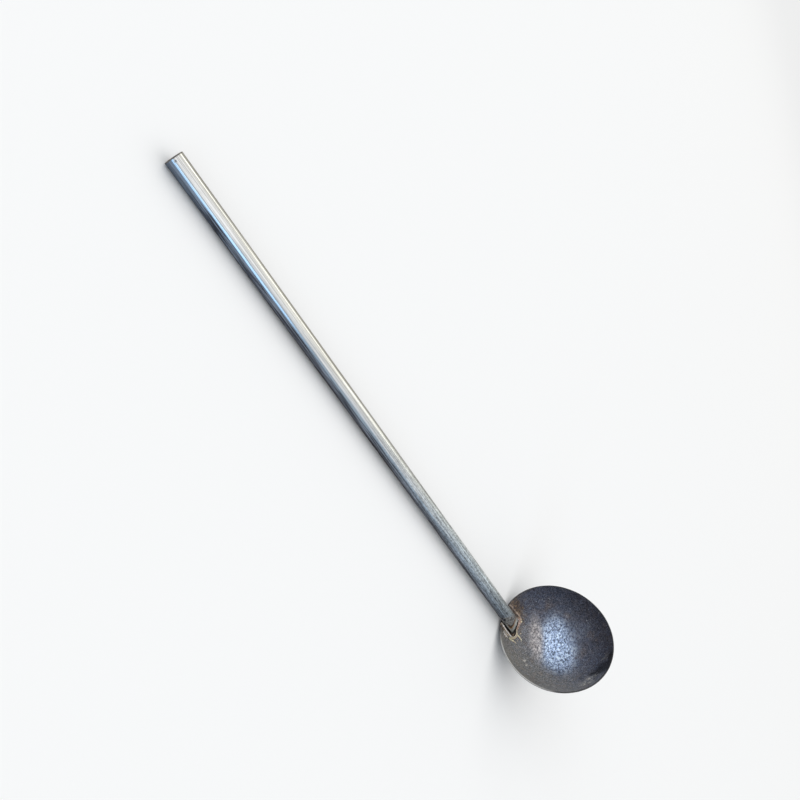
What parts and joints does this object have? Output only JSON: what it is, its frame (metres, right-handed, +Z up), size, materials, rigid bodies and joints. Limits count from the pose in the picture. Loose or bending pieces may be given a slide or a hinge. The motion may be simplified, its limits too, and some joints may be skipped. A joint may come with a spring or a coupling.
{
  "type": "long-handled skimmer",
  "caption": "Long straight galvanised tube handle welded on a slant against the inside wall of a deep round steel bowl, for skimming, ladling and scooping.",
  "frame": {"origin": "on the floor that the skimmer lies on, under the middle of its overall length and width", "axes": "+X along the handle from the bowl to the free end, +Z up from the floor, Y across; the XZ plane is the middle plane of bowl and tube"},
  "size_m": [0.9058, 0.1718, 0.15],
  "materials": {
    "bowl_steel": "dark mill scale, rubbed bright inside",
    "galvanised_steel": "streaked zinc coating, satin",
    "seal_weld": "raw weld metal, rippled",
    "right_weld": "raw weld metal, rippled",
    "left_weld": "raw weld metal, rippled",
    "toe_weld": "raw weld metal, rippled"
  },
  "bodies": {
    "root": {"bowl": "bowl_steel", "handle_tube": "galvanised_steel", "end_seal_weld": "seal_weld", "weld_bead_right": "right_weld", "weld_bead_left": "left_weld", "weld_bead_toe": "toe_weld"}
  },
  "joints": []
}
